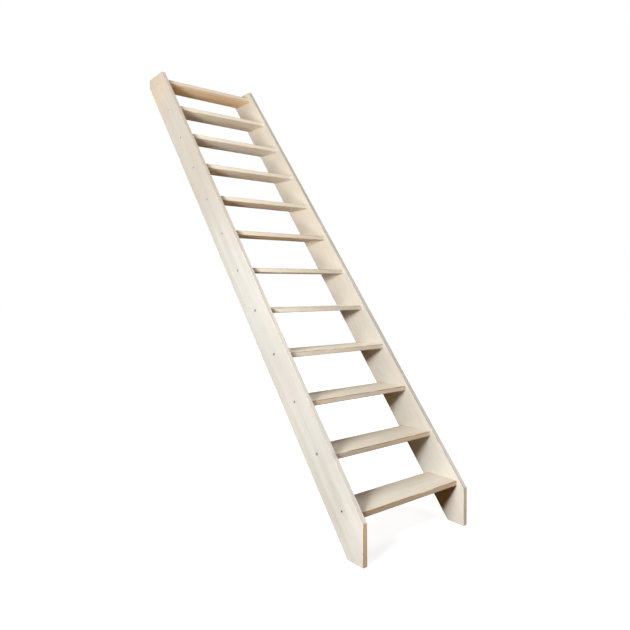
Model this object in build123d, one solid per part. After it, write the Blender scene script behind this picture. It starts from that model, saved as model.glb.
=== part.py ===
from build123d import *
import os
from math import atan2, cos, degrees, sin

# Straight loft ladder with open treads between two string boards, in millimetres.
# +X runs to the climber's right, +Y the way the climber goes, +Z up.
# The origin is the middle of the left foot's sole, on the floor.

# The flight
tread_count = 12
rise = 215.0
going = 170.0
outer_width = 700.0

# The strings: planed boards, sawn level at the floor and the head, and plumb at the toe and the back of the head
string_thickness = 24.0
string_width = 196.0
string_edge_radius = 3.0
toe_cut_height = 190.0
head_above_top_tread = 49.0
head_cut_height = 58.0

# The treads: planed boards with both arrises of the nosing rounded over and the back left square
tread_thickness = 24.0
tread_width = 183.0
nosing_radius = 3.0
tread_set_back = 23.0

# The housings that the tread ends stand in, routed part way into the strings and stopped short of both edges
housing_depth = 8.0
housing_clearance = 0.2

# One screw goes through each string into the middle of each tread end, with its head sunk in a recess
screw_hole_diameter = 5.0
screw_recess_diameter = 9.0
screw_recess_depth = 5.0

# What follows from them
slope = atan2(rise, going)
along_string = (0, cos(slope), sin(slope))
string_level_depth = string_width / sin(slope)
foot_length = string_level_depth - toe_cut_height * going / rise
toe_y = -foot_length / 2
head_height = tread_count * rise + head_above_top_tread
string_spacing = outer_width - string_thickness


def front_edge_y(height):
    """Where the strings' front edge line is at a height over the floor."""
    return toe_y + (height - toe_cut_height) * going / rise


def back_edge_y(height):
    """Where the strings' back edge line is at a height over the floor."""
    return front_edge_y(height) + string_level_depth


def tread_centre(step):
    """The middle of a tread's section, as (y, z). Steps count from 1 at the floor."""
    top = step * rise
    nosing_y = front_edge_y(top) + tread_set_back
    return nosing_y + tread_width / 2, top - tread_thickness / 2


def tread_section(step, clearance=0.0):
    """A tread's section in the plane of the strings, grown by a clearance for the housing."""
    y, z = tread_centre(step)
    section = Pos(y, z) * Rectangle(tread_width + 2 * clearance, tread_thickness + 2 * clearance)
    nosing_corners = section.vertices().group_by(Axis.X)[0]
    return fillet(nosing_corners, nosing_radius + clearance)


def string_blank(outer_x, inward):
    """One string before its joinery: the side outline as thick as the board, with its long edges eased."""
    head_back_y = back_edge_y(head_height - head_cut_height)
    outline = Polyline(
        (toe_y, 0),
        (toe_y + foot_length, 0),
        (head_back_y, head_height - head_cut_height),
        (head_back_y, head_height),
        (front_edge_y(head_height), head_height),
        (toe_y, toe_cut_height),
        close=True,
    )
    board = extrude(Plane.YZ.offset(outer_x) * make_face(outline), inward * string_thickness)
    long_edges = board.edges().filter_by(Axis((0, 0, 0), along_string))
    return fillet(long_edges, string_edge_radius)


def housing(step, inner_x, inward):
    """The cutter for one stopped housing, sunk into a string's inner face."""
    mouth = Plane.YZ.offset(inner_x) * tread_section(step, housing_clearance)
    return extrude(mouth, -inward * housing_depth)


def screw_hole(step, outer_x, inward):
    """The cutter for one stepped hole, turned about the screw's axis, from a string's outer face inwards."""
    y, z = tread_centre(step)
    hole_radius = screw_hole_diameter / 2
    recess_radius = screw_recess_diameter / 2
    half_section = Polyline(
        (0, 0),
        (0, recess_radius),
        (inward * screw_recess_depth, recess_radius),
        (inward * screw_recess_depth, hole_radius),
        (inward * string_thickness, hole_radius),
        (inward * string_thickness, 0),
        close=True,
    )
    return Pos(outer_x, y, z) * revolve(make_face(half_section), Axis.X)


def string(outer_x, inward):
    """One string with its housings and screw holes. Inward is 1 for the left string and -1 for the right one."""
    board = string_blank(outer_x, inward)
    inner_x = outer_x + inward * string_thickness
    for step in range(1, tread_count + 1):
        board -= housing(step, inner_x, inward)
        board -= screw_hole(step, outer_x, inward)
    return board


def tread(step, left_end_x, right_end_x):
    """One tread, from the left housing's floor to the right one's."""
    return extrude(Plane.YZ.offset(left_end_x) * tread_section(step), right_end_x - left_end_x)


os.makedirs("parts", exist_ok=True)

left_outer_x = -string_thickness / 2
right_outer_x = string_spacing + string_thickness / 2
housing_floor = string_thickness - housing_depth

export_step(string(left_outer_x, 1), "parts/left_string.step")
export_step(string(right_outer_x, -1), "parts/right_string.step")

for step in range(1, tread_count + 1):
    board = tread(step, left_outer_x + housing_floor, right_outer_x - housing_floor)
    export_step(board, f"parts/tread_{step:02d}.step")

print(f"slope {degrees(slope):.2f} degrees, foot {foot_length:.2f}, head {head_height:.1f}")
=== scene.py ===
import math

import bpy
from mathutils import Matrix, Vector


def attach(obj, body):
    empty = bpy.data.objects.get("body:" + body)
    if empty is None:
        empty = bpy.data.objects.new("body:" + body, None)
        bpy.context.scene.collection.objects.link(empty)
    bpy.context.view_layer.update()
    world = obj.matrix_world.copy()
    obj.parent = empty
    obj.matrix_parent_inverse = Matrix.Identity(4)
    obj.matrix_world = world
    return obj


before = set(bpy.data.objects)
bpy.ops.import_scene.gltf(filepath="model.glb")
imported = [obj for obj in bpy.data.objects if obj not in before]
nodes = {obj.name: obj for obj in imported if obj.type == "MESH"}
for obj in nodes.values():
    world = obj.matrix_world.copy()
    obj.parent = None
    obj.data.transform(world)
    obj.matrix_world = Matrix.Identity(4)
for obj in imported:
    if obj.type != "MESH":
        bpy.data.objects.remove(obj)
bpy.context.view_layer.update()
scene = bpy.context.scene
scene.view_settings.view_transform = "Standard"


# The camera stands in front of the ladder's foot and well to its left, 1.16 m over the floor, and looks
# across the flight. It looks down by about 2.5 degrees, and its lens has no shift.

camera_place = (-1.6045, -1.7549, 1.1648)
camera_azimuth = math.radians(38.327)
camera_fall = math.radians(2.467)
camera_roll = math.radians(-0.514)
sensor_width = 36
lens_length = 32.418


def camera_turn(azimuth, fall, roll):
    """The camera's rotation: azimuth from +Y towards +X, how far it looks down, and its roll."""
    ahead = Vector((
        math.sin(azimuth) * math.cos(fall),
        math.cos(azimuth) * math.cos(fall),
        -math.sin(fall),
    ))
    right = Vector((math.cos(azimuth), -math.sin(azimuth), 0))
    above = right.cross(ahead)
    rolled_right = right * math.cos(roll) + above * math.sin(roll)
    rolled_above = above * math.cos(roll) - right * math.sin(roll)
    return Matrix((rolled_right, rolled_above, -ahead)).transposed().to_euler()


camera_data = bpy.data.cameras.new("camera")
camera_data.sensor_width = sensor_width
camera_data.lens = lens_length
camera = bpy.data.objects.new("camera", camera_data)
camera.location = camera_place
camera.rotation_euler = camera_turn(camera_azimuth, camera_fall, camera_roll)
scene.collection.objects.link(camera)
scene.camera = camera


# The studio: a white paper floor that runs out of view, and a white surround. The camera sees both white,
# and the floor keeps the ladder's shadow. Little light comes back from them to the ladder.

floor_middle = (0.34, 1.0, 0)
floor_half_width = 40
glow_near_ladder = 0.84
glow_inner_radius = 1.28
glow_outer_radius = 3.2
paper_white = (1, 1, 1, 1)
floor_albedo_seen = (0.34, 0.34, 0.34, 1)
floor_albedo_lighting = (0.13, 0.065, 0.015, 1)
surround_light = (1.0, 0.48, 0.12, 1)
surround_strength = 0.06


def fill(tree, socket, value):
    """Gives an input socket a link or a plain value. None leaves it as it is."""
    if isinstance(value, bpy.types.NodeSocket):
        tree.links.new(value, socket)
    elif value is not None:
        socket.default_value = value


def add_node(tree, kind, *inputs, **settings):
    """Adds a node. Inputs are values or output sockets in the node's own order."""
    made = tree.nodes.new(kind)
    for name, value in settings.items():
        setattr(made, name, value)
    for socket, value in zip(made.inputs, inputs):
        fill(tree, socket, value)
    return made


def calculate(tree, operation, *values):
    """A sum on numbers, as a Math node."""
    return add_node(tree, "ShaderNodeMath", *values, operation=operation).outputs[0]


def ease(tree, value, start, end, before=0.0, after=1.0):
    """A smooth change from before to after while the value goes from start to end."""
    return add_node(tree, "ShaderNodeMapRange", value, start, end, before, after,
                    interpolation_type="SMOOTHSTEP").outputs[0]


def seen_directly(tree):
    """1 for what the camera, a mirror or a glass shows, and 0 for the light that falls on the ladder."""
    path = add_node(tree, "ShaderNodeLightPath").outputs
    seen = calculate(tree, "MAXIMUM", path["Is Camera Ray"], path["Is Glossy Ray"])
    return calculate(tree, "MAXIMUM", seen, path["Is Transmission Ray"])


def empty_material(name):
    """A material that has no nodes yet."""
    material = bpy.data.materials.new(name)
    material.use_nodes = True
    material.node_tree.nodes.clear()
    return material


bpy.ops.object.select_all(action="DESELECT")
bpy.ops.mesh.primitive_plane_add(size=2 * floor_half_width, location=floor_middle)
bpy.ops.object.transform_apply(location=True, rotation=True, scale=True)
floor = bpy.context.object
floor.name = "floor"
paper = empty_material("white paper floor")
tree = paper.node_tree
place = add_node(tree, "ShaderNodeTexCoord").outputs["Object"]
from_ladder = add_node(tree, "ShaderNodeVectorMath", place, floor_middle, operation="DISTANCE")
glow = ease(tree, from_ladder.outputs["Value"], start=glow_inner_radius, end=glow_outer_radius,
            before=glow_near_ladder)
shown = add_node(tree, "ShaderNodeAddShader",
                 add_node(tree, "ShaderNodeBsdfDiffuse", floor_albedo_seen).outputs[0],
                 add_node(tree, "ShaderNodeEmission", paper_white, glow).outputs[0])
lighting = add_node(tree, "ShaderNodeBsdfDiffuse", floor_albedo_lighting)
mixed = add_node(tree, "ShaderNodeMixShader", seen_directly(tree), lighting.outputs[0], shown.outputs[0])
add_node(tree, "ShaderNodeOutputMaterial", mixed.outputs[0])
floor.data.materials.append(paper)

world = bpy.data.worlds.new("white surround")
world.use_nodes = True
scene.world = world
tree = world.node_tree
tree.nodes.clear()
bright = add_node(tree, "ShaderNodeBackground", paper_white, 1.0)
dim = add_node(tree, "ShaderNodeBackground", surround_light, surround_strength)
mixed = add_node(tree, "ShaderNodeMixShader", seen_directly(tree), dim.outputs[0], bright.outputs[0])
add_node(tree, "ShaderNodeOutputWorld", mixed.outputs[0])


# The lamps. A soft box and a bare lamp stand left of the flight at head height and cast the treads' shadows.
# Spots lift the undersides, the upper nosings, both feet and the left string's head, and soft boxes fill in
# from above, from behind and from the right.

power_of_flat_lamp = math.pi**2
power_of_bulb = 4 * math.pi**2
side_lamp_place = (-2.2, -0.8, 1.7)
mid_flight = (0.34, 1.0, 1.3)


def hang(data, place, aim, power, level):
    """Hangs a lamp that points at its aim. Level is the light that it gives a surface facing it there.

    At level 1 such a surface shows its colour as it is written. Power is what that takes from a metre away.
    """
    towards = Vector(aim) - Vector(place)
    data.energy = power * towards.length_squared * level
    lamp = bpy.data.objects.new(data.name, data)
    lamp.location = place
    lamp.rotation_euler = towards.to_track_quat("-Z", "Y").to_euler()
    lamp.visible_camera = False
    scene.collection.objects.link(lamp)


def soft_box(name, place, aim, width, level):
    """A round diffusing lamp."""
    data = bpy.data.lights.new(name, "AREA")
    data.shape = "DISK"
    data.size = width
    hang(data, place, aim, power_of_flat_lamp, level)


def bare_lamp(name, place, aim, radius, level):
    """A round bulb that shines all round."""
    data = bpy.data.lights.new(name, "POINT")
    data.shadow_soft_size = radius
    hang(data, place, aim, power_of_bulb, level)


def spot(name, place, aim, radius, level, cone):
    """A bulb in a shade. Its beam, as wide as the cone in degrees, fades from its middle outwards."""
    data = bpy.data.lights.new(name, "SPOT")
    data.shadow_soft_size = radius
    data.spot_size = math.radians(cone)
    data.spot_blend = 1
    hang(data, place, aim, power_of_bulb, level)


soft_box("side soft box", place=(-2.2, -0.3, 1.55), aim=(0.3, 1.3, 1.8), width=0.6, level=0.67)
bare_lamp("side lamp", place=side_lamp_place, aim=(0, 0.8, 1.3), radius=0.2, level=0.42)
spot("low side spot", place=(-1.9, -1.0, 0.6), aim=(0.5, 1.6, 2.2), radius=0.25, level=0.32, cone=45)
spot("head spot", place=(-3.0, 1.9, 2.2), aim=(0, 2.0, 2.5), radius=0.3, level=0.42, cone=38)
spot("foot spot", place=(-3.0, 0.1, 0.6), aim=(0, 0.1, 0.2), radius=0.3, level=0.33, cone=35)
spot("low front spot", place=(1.0, -2.0, 0.9), aim=(0.34, 0.1, 0.35), radius=0.3, level=0.31, cone=45)
spot("right foot spot", place=side_lamp_place, aim=(0.66, -0.03, 0.0), radius=0.2, level=0.52, cone=13)
spot("upper front spot", place=(-0.6, -3.0, 2.6), aim=(0.34, 1.65, 2.15), radius=0.4, level=0.28, cone=44)
soft_box("overhead soft box", place=(0.34, 1.0, 4.6), aim=mid_flight, width=2.5, level=0.56)
soft_box("back soft box", place=(1.5, 5.2, 2.6), aim=mid_flight, width=1.6, level=0.22)
soft_box("right soft box", place=(7.0, 1.0, 1.35), aim=(0.688, 1.0, 1.3), width=0.6, level=0.85)


# The two strings: planed softwood boards 24 mm thick, left bare and pale. Their grain runs up the slope, so
# the level and plumb cuts at the foot and the head show slanted end grain.

rise = 0.215
going = 0.170
tread_thickness = 0.024
first_tread_middle_y = 0.0844
string_width = 0.196
string_thickness = 0.024
string_spacing = 0.676
string_middle_y = 0.9643
string_middle_height = 1.3145
string_ring_width = 0.0042
no_heartwood = (0, 0)


def calculate_place(tree, operation, *values):
    """A sum on places or directions, as a Vector Math node."""
    return add_node(tree, "ShaderNodeVectorMath", *values, operation=operation).outputs[0]


def length_of(tree, vector):
    """How long a vector is."""
    return add_node(tree, "ShaderNodeVectorMath", vector, operation="LENGTH").outputs["Value"]


def lay_over(tree, share, under, over, how="MIX"):
    """One colour laid over another, by a share from 0 to 1."""
    for_numbers_and_vectors = (None,) * 5
    return add_node(tree, "ShaderNodeMix", share, *for_numbers_and_vectors, under, over,
                    data_type="RGBA", blend_type=how).outputs[2]


def drawn_out(tree, board, along, across, detail=2.0):
    """Noise stretched along a board: how many waves there are to a metre along it and across it."""
    scale = 1.0
    roughness = 0.55
    stretched = calculate_place(tree, "MULTIPLY", board, (along, across, across))
    return add_node(tree, "ShaderNodeTexNoise", stretched, None, scale, detail, roughness)


def raised(tree, height, strength, depth):
    """Small relief, as a Bump node. Depth is in metres."""
    return add_node(tree, "ShaderNodeBump", strength, depth, None, height).outputs[0]


def end_in_surface(tree, values):
    """Ends a material in one surface, whose values go by the names of its sockets."""
    surface = add_node(tree, "ShaderNodeBsdfPrincipled")
    for name, value in values.items():
        fill(tree, surface.inputs[name], value)
    add_node(tree, "ShaderNodeOutputMaterial", surface.outputs[0])


pith_wander = 0.075
ring_waves = 0.005
palest_year = 0.4
heart_fade = 0.008
ring_relief = 0.5
saw_relief = 1.5
rougher_at_ends = 0.2
smoother_where_rubbed = -0.14
pink_cast = (1.0, 0.955, 0.93, 1)
grey_cast = (0.95, 0.97, 0.975, 1)
heart_cast = (1.0, 0.86, 0.68, 1)
bleached = (0.77, 0.75, 0.69, 1)


def growth_rings(tree, board, trunk, pith, ring_width):
    """The distance from the pith, which wanders slowly, and the share of dark latewood in each ring."""
    wander = drawn_out(tree, trunk, along=1.1, across=1.6).outputs["Color"]
    waves = drawn_out(tree, trunk, along=7, across=30).outputs["Color"]
    moved = calculate_place(tree, "MULTIPLY_ADD", wander, (0, pith_wander, pith_wander), board)
    moved = calculate_place(tree, "MULTIPLY_ADD", waves, (0, ring_waves, ring_waves), moved)
    centring = (pith_wander + ring_waves) / 2
    pith_shift = (0, -pith[0] - centring, -pith[1] - centring)
    radius = length_of(tree, calculate_place(tree, "MULTIPLY_ADD", moved, (0, 1, 1), pith_shift))
    ring = calculate(tree, "DIVIDE", radius, ring_width)
    through_ring = calculate(tree, "FRACT", ring)
    darkening = ease(tree, through_ring, start=0.25, end=0.9)
    next_spring = ease(tree, through_ring, start=0.91, end=1.0, before=1.0, after=0.0)
    latewood = calculate(tree, "MULTIPLY", darkening, next_spring)
    year = add_node(tree, "ShaderNodeTexWhiteNoise", None, calculate(tree, "FLOOR", ring),
                    noise_dimensions="1D").outputs["Value"]
    depth_of_year = calculate(tree, "MULTIPLY_ADD", year, 1 - palest_year, palest_year)
    return radius, calculate(tree, "MULTIPLY", latewood, depth_of_year)


def planed_colour(tree, trunk, radius, latewood, fibres, streaks, heart, early, late):
    """The colour of the planed faces: rings, fibres and heartwood, under broad bands and clouds."""
    bands = drawn_out(tree, trunk, along=1.0, across=24).outputs["Color"]
    clouds = drawn_out(tree, trunk, along=4, across=14, detail=3.0).outputs["Color"]
    pink_bands, pale_bands = add_node(tree, "ShaderNodeSeparateXYZ", bands).outputs[:2]
    pink_clouds, grey_clouds = add_node(tree, "ShaderNodeSeparateXYZ", clouds).outputs[:2]
    heart_radius, heart_tint = heart
    in_rings = calculate(tree, "MULTIPLY", latewood, 0.5)
    in_fibres = ease(tree, fibres, start=0.35, end=0.75, after=0.25)
    in_streaks = ease(tree, streaks, start=0.45, end=0.75, after=0.3)
    in_heart = ease(tree, radius, start=heart_radius + heart_fade, end=heart_radius - heart_fade,
                    after=heart_tint)
    in_pink_bands = ease(tree, pink_bands, start=0.42, end=0.66, after=0.4)
    in_pale_bands = ease(tree, pale_bands, start=0.45, end=0.68, after=0.2)
    in_pink_clouds = ease(tree, pink_clouds, start=0.45, end=0.66, after=0.8)
    in_grey_clouds = ease(tree, grey_clouds, start=0.45, end=0.66, after=0.8)
    colour = lay_over(tree, in_rings, early, late)
    colour = lay_over(tree, in_fibres, colour, late)
    colour = lay_over(tree, in_streaks, colour, late)
    colour = lay_over(tree, in_heart, colour, heart_cast, "MULTIPLY")
    colour = lay_over(tree, in_pink_bands, colour, pink_cast, "MULTIPLY")
    colour = lay_over(tree, in_pale_bands, colour, bleached)
    colour = lay_over(tree, in_pink_clouds, colour, pink_cast, "MULTIPLY")
    return lay_over(tree, in_grey_clouds, colour, grey_cast, "MULTIPLY")


def marked(tree, board, streaks, colour, marks):
    """The colour with the board's marks laid over it in turn, ragged along the grain."""
    raggedness = 1.2
    uneven = calculate(tree, "SUBTRACT", streaks, 0.5)
    for along, across, half_length, half_width, stain, strength in marks:
        away = calculate_place(tree, "SUBTRACT", board, (along, across, 0))
        away = calculate_place(tree, "MULTIPLY", away, (1 / half_length, 1 / half_width, 0))
        ragged = calculate(tree, "MULTIPLY_ADD", uneven, raggedness, length_of(tree, away))
        colour = lay_over(tree, ease(tree, ragged, start=1.0, end=0.3, after=strength), colour, stain)
    return colour


def sawn_share(tree, normal, turn):
    """1 on the sawn ends, which face along the board, and 0 on the planed faces."""
    of_board = add_node(tree, "ShaderNodeMapping", normal, None, turn, vector_type="TEXTURE").outputs[0]
    facing_along = add_node(tree, "ShaderNodeSeparateXYZ", of_board).outputs[0]
    return ease(tree, calculate(tree, "ABSOLUTE", facing_along), start=0.3, end=0.55)


def rubbed_share(tree, board, trunk, size):
    """1 where hands have rubbed the long arrises smooth, in patches, and 0 elsewhere."""
    rub_starts = 0.004
    rub_is_full = 0.001
    close_to_edge = []
    for from_middle, width in zip(add_node(tree, "ShaderNodeSeparateXYZ", board).outputs[1:], size):
        outwards = calculate(tree, "ABSOLUTE", from_middle)
        close_to_edge.append(ease(tree, outwards, start=width / 2 - rub_starts, end=width / 2 - rub_is_full))
    arris = calculate(tree, "MULTIPLY", *close_to_edge)
    blots = drawn_out(tree, trunk, along=14, across=40, detail=3.0).outputs["Fac"]
    return calculate(tree, "MULTIPLY", arris, ease(tree, blots, start=0.28, end=0.5))


def softwood(name, middle, turn, size, pith, heart, ring_width, seed, early, late, sawn_colours, edge_wear_and_shade,
             marks):
    """Planed softwood as a solid: growth rings about a wandering pith, fibres, bands, end grain and marks.

    Middle and turn give the board's own axes, along, across and through it, and size its width and thickness.
    Pith is where the middle of the trunk lies, across and through, from the board's middle. Heart is the
    radius of the heartwood about it and how strongly it is tinted. Seed picks the plank. Early and late are
    the two colours of each ring, and sawn colours the same two at the ends. Edge wear and shade is the colour
    and the share laid on the long arrises: rubbing, and on the right string also painted shade. Each mark is
    a place along and across the board, its half length and half width, its colour and its strength.
    """
    wood = empty_material(name)
    tree = wood.node_tree
    coordinates = add_node(tree, "ShaderNodeTexCoord").outputs
    board = add_node(tree, "ShaderNodeMapping", coordinates["Object"], middle, turn,
                     vector_type="TEXTURE").outputs[0]
    trunk = calculate_place(tree, "ADD", board, seed)
    radius, latewood = growth_rings(tree, board, trunk, pith, ring_width)
    fibres = drawn_out(tree, trunk, along=9, across=900, detail=3.0).outputs["Fac"]
    streaks = drawn_out(tree, trunk, along=2.2, across=95, detail=3.0).outputs["Fac"]
    saw_marks = drawn_out(tree, trunk, along=160, across=420).outputs["Fac"]
    sawn = sawn_share(tree, coordinates["Normal"], turn)
    rubbed = rubbed_share(tree, board, trunk, size)

    colour = planed_colour(tree, trunk, radius, latewood, fibres, streaks, heart, early, late)
    colour = marked(tree, board, streaks, colour, marks)
    sawn_early, sawn_late = sawn_colours
    end_colour = lay_over(tree, latewood, sawn_early, sawn_late)
    end_colour = lay_over(tree, ease(tree, saw_marks, start=0.35, end=0.7, after=0.35), end_colour, sawn_late)
    colour = lay_over(tree, sawn, colour, end_colour)
    # rubbing on the long arrises, which on the right string is also painted shade
    rub_and_shade_colour, rub_and_shade_strength = edge_wear_and_shade
    colour = lay_over(tree, calculate(tree, "MULTIPLY", rubbed, rub_and_shade_strength), colour, rub_and_shade_colour)

    relief = calculate(tree, "MULTIPLY_ADD", latewood, ring_relief, fibres)
    scored = calculate(tree, "MULTIPLY", sawn, saw_marks)
    relief = calculate(tree, "MULTIPLY_ADD", scored, saw_relief, relief)
    dryness = ease(tree, fibres, start=0.3, end=0.7, before=0.62, after=0.78)
    dryness = calculate(tree, "MULTIPLY_ADD", sawn, rougher_at_ends, dryness)
    dryness = calculate(tree, "MULTIPLY_ADD", rubbed, smoother_where_rubbed, dryness)
    end_in_surface(tree, {
        "Base Color": colour,
        "Roughness": dryness,
        "Normal": raised(tree, relief, strength=0.35, depth=0.0004),
        "Specular IOR Level": 0.02,
    })
    return wood


def toned(colour, tone):
    """A colour made lighter, darker, warmer or cooler for one board."""
    return (*(min(a * b, 1) for a, b in zip(colour, tone)), 1)


def tread_middle(step):
    """How far back and how high the middle of a tread lies."""
    return first_tread_middle_y + going * (step - 1), rise * step - tread_thickness / 2


slope = math.atan2(rise, going)
uphill = Vector((0, math.cos(slope), math.sin(slope)))
towards_front = Vector((0, -math.sin(slope), math.cos(slope)))
through = uphill.cross(towards_front)
string_turn = Matrix((uphill, towards_front, through)).transposed().to_euler()
front_edge = string_width / 2

string_early = (0.715, 0.68, 0.595, 1)
string_late = (0.645, 0.59, 0.495, 1)
fresh_ends = ((0.98, 0.80, 0.56, 1), (0.90, 0.63, 0.40, 1))
pale_ends = ((0.85, 0.79, 0.62, 1), (0.78, 0.65, 0.48, 1))
brown_rub = (0.42, 0.39, 0.34, 1)
# rubbing and painted shade for the right string's arrises
green_rub_and_painted_shade = (0.34, 0.35, 0.31, 1)
grey_rub = (0.46, 0.44, 0.42, 1)
resin_stain = (0.62, 0.45, 0.33, 1)
orange_stain = (0.72, 0.46, 0.26, 1)
dark_speck = (0.16, 0.10, 0.06, 1)
head_tan = (0.64, 0.56, 0.45, 1)
pale_wood = (0.66, 0.65, 0.61, 1)
warm_wood = (0.84, 0.66, 0.48, 1)
warm_pale = (0.87, 0.74, 0.58, 1)
peach_wood = (0.59, 0.53, 0.43, 1)
# painted highlight and painted shade for the strings' front edges
painted_highlight_edge = (0.79, 0.75, 0.68, 1)
painted_shade_edge_tan = (0.40, 0.345, 0.265, 1)
painted_shade_edge_grey = (0.37, 0.335, 0.26, 1)
# painted shade for the screws' recesses
painted_recess_shade_brown = (0.10, 0.07, 0.045, 1)

# The marks are stains and specks, lengths that are paler, warmer or browner, and on the front edge a painted
# highlight and, over its upper part, painted shade
string_boards = {
    "left_string": {
        "middle_x": 0.0,
        "tone": (0.765, 0.80, 0.85),
        "sawn_colours": fresh_ends,
        "pith": (0.02, 0.075),
        "seed": (3.1, 0.4, 0.2),
        "edge_wear_and_shade": (brown_rub, 0.45),
        "marks": (
            (-0.971, 0.0795, 0.05, 0.008, resin_stain, 0.4),
            (1.239, -0.073, 0.012, 0.005, resin_stain, 0.35),
            (1.371, -0.064, 0.010, 0.005, resin_stain, 0.3),
            (1.56, -0.075, 0.14, 0.05, orange_stain, 0.35),
            (1.0, 0, 1.0, 0.5, head_tan, 0.4),
            (-0.65, 0, 0.65, 0.5, pale_wood, 0.4),
            (-1.65, 0, 0.28, 0.5, pale_wood, 0.6),
            (1.6, 0, 0.3, 0.3, warm_wood, 0.45),
            # painted highlight along the front edge, and painted shade over its upper length
            (0, front_edge, 2.4, 0.003, painted_highlight_edge, 0.8),
            (1.0, front_edge, 2.0, 0.004, painted_shade_edge_tan, 0.8),
            (-1.202, front_edge, 0.02, 0.008, grey_rub, 0.5),
            (-1.612, 0.018, 0.006, 0.004, dark_speck, 0.8),
            (-1.644, -0.007, 0.005, 0.004, dark_speck, 0.7),
        ),
    },
    "right_string": {
        "middle_x": string_spacing,
        "tone": (0.985, 1.0, 1.03),
        "sawn_colours": pale_ends,
        "pith": (-0.03, -0.06),
        "seed": (8.7, 1.9, 0.6),
        # dark green-grey on the long arrises in patches: partly rubbing, partly painted shade, as on the
        # outer front arris
        "edge_wear_and_shade": (green_rub_and_painted_shade, 1.0),
        "marks": (
            (0.5, 0, 1.1, 0.5, peach_wood, 0.6),
            (1.35, 0, 0.35, 0.5, warm_pale, 0.25),
            (-1.35, 0.03, 0.03, 0.006, resin_stain, 0.35),
            (0.52, -0.05, 0.02, 0.007, resin_stain, 0.4),
            # painted highlight along the front edge, and painted shade over its upper length
            (0, front_edge, 2.4, 0.003, painted_highlight_edge, 0.8),
            (1.1, front_edge, 1.8, 0.004, painted_shade_edge_grey, 0.85),
            (1.6, front_edge, 0.3, 0.006, painted_shade_edge_grey, 0.7),
        ),
    },
}

# Painted shade: a dark brown patch is painted in and round each screw's recess, up to the tenth tread's, for
# the shade in the recess
last_painted_recess_shade = 10
painted_recess_shade_radius = 0.009
painted_recess_shade_strength = 0.85
painted_recess_shade_rims = []
for step in range(1, last_painted_recess_shade + 1):
    recess = Vector((0, *tread_middle(step))) - Vector((0, string_middle_y, string_middle_height))
    along = recess.dot(uphill)
    across = recess.dot(towards_front)
    painted_recess_shade_rims.append((along, across, painted_recess_shade_radius, painted_recess_shade_radius, painted_recess_shade_brown, painted_recess_shade_strength))

for name, board in string_boards.items():
    nodes[name].material_slots[0].material = softwood(
        f"{name} softwood",
        middle=(board["middle_x"], string_middle_y, string_middle_height),
        turn=string_turn,
        size=(string_width, string_thickness),
        pith=board["pith"],
        heart=no_heartwood,
        ring_width=string_ring_width,
        seed=board["seed"],
        early=toned(string_early, board["tone"]),
        late=toned(string_late, board["tone"]),
        sawn_colours=board["sawn_colours"],
        edge_wear_and_shade=board["edge_wear_and_shade"],
        marks=(*board["marks"], *painted_recess_shade_rims),
    )


# The twelve treads: planed boards of the same softwood, a little yellower, with their grain running from
# string to string. Each stands in housings 8 mm deep and has a figure and a tone of its own.

tread_width = 0.183
tread_ring_width = 0.0038
tread_middle_x = 0.338
seed_per_step = (5.3, 1.7, 0.9)
tread_early = (0.91, 0.83, 0.68, 1)
tread_late = (0.80, 0.685, 0.515, 1)
tread_ends = ((0.95, 0.80, 0.58, 1), (0.76, 0.57, 0.37, 1))
tread_rub = (0.33, 0.22, 0.12, 1)
# painted shade for the nosings, darker than the tops
painted_nosing_shade_tan = (0.51, 0.435, 0.356, 1)
painted_nosing_shade_grey = (0.55, 0.505, 0.41, 1)
painted_nosing_shade_brown = (0.36, 0.27, 0.17, 1)


def nosing_with_painted_shade(colour, strength, middle=0, half_length=1.2):
    """The one mark of a tread whose nosing is painted darker than its top: painted shade along the nosing and
    its arrises.
    """
    half_width = 0.006
    return ((middle, -tread_width / 2, half_length, half_width, colour, strength),)


# Each tread's pith, its heartwood's radius and tint, its tone, the wear of its arrises, and its marks, which
# are painted shade on the nosing
tread_boards = {
    1: ((-0.125, -0.015), (0.042, 1.0), (0.77, 0.80, 0.85), 1.3, nosing_with_painted_shade(painted_nosing_shade_brown, 0.4, -0.2, 0.45)),
    2: ((-0.130, -0.020), (0.048, 0.8), (0.86, 0.88, 0.92), 1.2, nosing_with_painted_shade(painted_nosing_shade_brown, 0.3, -0.2, 0.5)),
    3: ((-0.140, 0.010), (0.056, 0.7), (0.94, 0.96, 1.00), 1.0, ()),
    4: ((-0.060, -0.060), (0.02, 0.0), (0.99, 1.02, 1.07), 0.8, ()),
    5: ((0.050, -0.070), (0.02, 0.0), (1.00, 1.05, 1.12), 0.6, nosing_with_painted_shade(painted_nosing_shade_grey, 0.3)),
    6: ((0.020, -0.060), (0.05, 0.3), (0.88, 0.87, 0.87), 0.5, nosing_with_painted_shade(painted_nosing_shade_grey, 0.45)),
    7: ((-0.030, -0.045), (0.07, 0.35), (0.90, 0.84, 0.775), 0.5, nosing_with_painted_shade(painted_nosing_shade_grey, 0.7)),
    8: ((0.040, -0.080), (0.02, 0.0), (0.95, 0.94, 0.97), 0.4, nosing_with_painted_shade(painted_nosing_shade_grey, 0.7)),
    9: ((0.060, -0.075), (0.02, 0.0), (1.00, 1.00, 1.04), 0.4, nosing_with_painted_shade(painted_nosing_shade_grey, 0.75)),
    10: ((-0.050, -0.090), (0.02, 0.0), (0.94, 0.96, 1.02), 0.4, nosing_with_painted_shade(painted_nosing_shade_grey, 0.7)),
    11: ((0.030, -0.070), (0.06, 0.3), (0.93, 0.93, 0.95), 0.4, nosing_with_painted_shade(painted_nosing_shade_grey, 0.7)),
    12: ((0.020, -0.050), (0.085, 1.0), (1.02, 0.95, 0.88), 0.4, nosing_with_painted_shade(painted_nosing_shade_tan, 0.85)),
}
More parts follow.
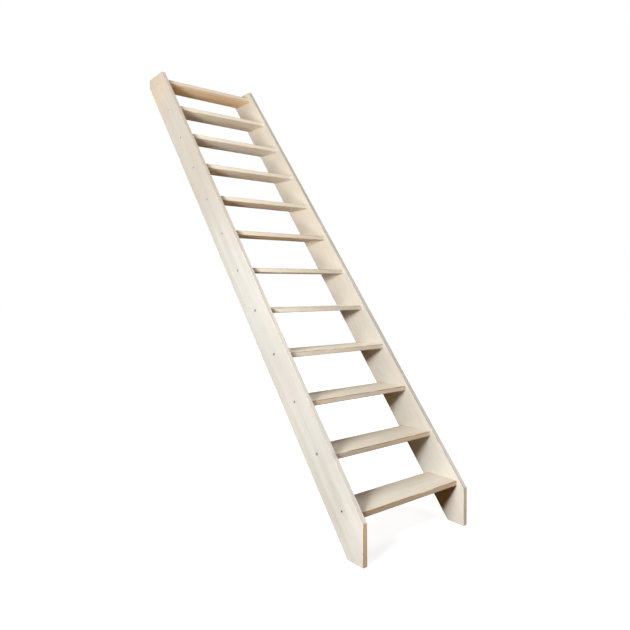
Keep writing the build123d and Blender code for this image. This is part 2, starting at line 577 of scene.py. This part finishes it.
for step, (pith, heart, tone, wear, marks) in tread_boards.items():
    nodes[f"tread_{step:02d}"].material_slots[0].material = softwood(
        f"tread_{step:02d} softwood",
        middle=(tread_middle_x, *tread_middle(step)),
        turn=(0, 0, 0),
        size=(tread_width, tread_thickness),
        pith=pith,
        heart=heart,
        ring_width=tread_ring_width,
        seed=tuple(offset * step for offset in seed_per_step),
        early=toned(tread_early, tone),
        late=toned(tread_late, tone),
        sawn_colours=tread_ends,
        edge_wear_and_shade=(tread_rub, wear),
        marks=marks,
    )


# The screws: black phosphate-coated wood screws, one through each string into the end of each tread. The pan
# head sits on the floor of a 9 mm recess, under the face of the string, and the rest is in the wood.

head_radius = 0.0044
head_height = 0.0045
head_rounding = 0.0016
recess_floor = 0.007
outer_face = -recess_floor - head_height
socket_margin = 0.0006
socket_depth = 0.0016
socket_taper = 0.92
rim_steps = ((0.3, 0.93), (-0.6, 0.88))
shank_radius = 0.0024
shank_length = 0.011
thread_start = 0.001
thread_share = 0.8
thread_length = 0.036
tip_length = 0.005
tip_share = 0.06
close_by = 0.0001
on_axis = 0.0005
within_socket = 0.0025
straight = 0.99
axis_y, axis_z = tread_middle(1)
screw_axis = Vector((0, axis_y, axis_z))


def select_only(piece, kind, wanted):
    """In edit mode, selects the points or the faces of a piece that pass a test, and nothing else."""
    bpy.ops.object.mode_set(mode="OBJECT")
    points, faces = piece.data.vertices, piece.data.polygons
    for part in (*points, *piece.data.edges, *faces):
        part.select = False
    for part in (faces if kind == "FACE" else points):
        part.select = wanted(part)
    bpy.ops.object.mode_set(mode="EDIT")
    bpy.ops.mesh.select_mode(type=kind)


def from_axis(place):
    """How far a place lies from the screw's axis."""
    return math.hypot(place.y - axis_y, place.z - axis_z)


def lobe(place):
    """1 at a lobe of the six-lobed socket, and -1 between two lobes."""
    return math.cos(6 * math.atan2(place.y - axis_y, place.z - axis_z))


def on_outer_face(place):
    """Whether a place lies on the flat outer face of the head."""
    return place.x < outer_face + close_by


def socket_face(face):
    """Whether a face is the one on the axis that closes the head, where the socket goes in."""
    return face.normal.x < -straight and on_outer_face(face.center) and from_axis(face.center) < on_axis


def push_in(distance, share=1.0):
    """Extrudes the selected face along the screw, and scales its new end about the screw's axis."""
    bpy.ops.mesh.extrude_region_move(TRANSFORM_OT_translate={"value": (distance, 0, 0)})
    if share != 1:
        bpy.ops.transform.resize(value=(1, share, share), center_override=screw_axis)


bpy.ops.object.select_all(action="DESELECT")
bpy.ops.mesh.primitive_cylinder_add(
    vertices=36,
    radius=head_radius,
    depth=head_height,
    location=(-recess_floor - head_height / 2, axis_y, axis_z),
    rotation=(0, math.pi / 2, 0),
)
bpy.ops.object.transform_apply(location=True, rotation=True, scale=True)
screw = bpy.context.object

# The rounded head, and its socket, whose rim is drawn in between the lobes and twice at the middle there
select_only(screw, "VERT", lambda point: on_outer_face(point.co))
bpy.ops.mesh.select_mode(type="EDGE")
bpy.ops.mesh.bevel(offset=head_rounding, segments=5, profile=0.6, affect="EDGES")
select_only(screw, "FACE", socket_face)
bpy.ops.mesh.inset(thickness=socket_margin)
for below, share in rim_steps:
    select_only(screw, "VERT", lambda point: on_outer_face(point.co)
                and from_axis(point.co) < within_socket and lobe(point.co) < below)
    bpy.ops.transform.resize(value=(1, share, share), center_override=screw_axis)
select_only(screw, "FACE", socket_face)
push_in(socket_depth, socket_taper)

# The smooth shank, the thinner length where the thread is, and the tip
select_only(screw, "FACE", lambda face: face.normal.x > straight and face.center.x > -recess_floor - close_by)
bpy.ops.mesh.inset(thickness=head_radius - shank_radius)
push_in(shank_length)
push_in(thread_start, thread_share)
push_in(thread_length)
push_in(tip_length, tip_share)
bpy.ops.object.mode_set(mode="OBJECT")
bpy.ops.object.shade_smooth_by_angle(angle=math.radians(35))

dull_black = (0.026, 0.024, 0.022, 1)
deep_black = (0.012, 0.011, 0.010, 1)
mottle_scale = 900.0
mottle_detail = 3.0
mottle_roughness = 0.6
coating = empty_material("black phosphate finish")
tree = coating.node_tree
place = add_node(tree, "ShaderNodeTexCoord").outputs["Object"]
mottle = add_node(tree, "ShaderNodeTexNoise", place, None, mottle_scale, mottle_detail,
                  mottle_roughness).outputs["Fac"]
scratches = drawn_out(tree, place, along=300, across=4000).outputs["Fac"]
end_in_surface(tree, {
    "Base Color": lay_over(tree, ease(tree, mottle, start=0.35, end=0.65), dull_black, deep_black),
    "Metallic": 0.3,
    "Roughness": ease(tree, scratches, start=0.35, end=0.7, before=0.38, after=0.6),
    "Normal": raised(tree, mottle, strength=0.3, depth=0.00005),
    "Specular IOR Level": 0.25,
})
screw.data.materials.append(coating)

turn_per_step = 1.9
to_origin = Matrix.Translation(-screw_axis)
for step in tread_boards:
    for side, half_turn, x in (("left", 0, 0.0), ("right", math.pi, string_spacing)):
        piece = screw.copy()
        piece.data = screw.data.copy()
        piece.name = f"screw_{side}_{step:02d}"
        scene.collection.objects.link(piece)
        to_tread = Matrix.Translation((x, *tread_middle(step)))
        spin = Matrix.Rotation(half_turn, 4, "Z")
        twist = Matrix.Rotation(turn_per_step * step + half_turn, 4, "X")
        piece.data.transform(to_tread @ spin @ twist @ to_origin)
        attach(piece, "root")
bpy.data.objects.remove(screw)
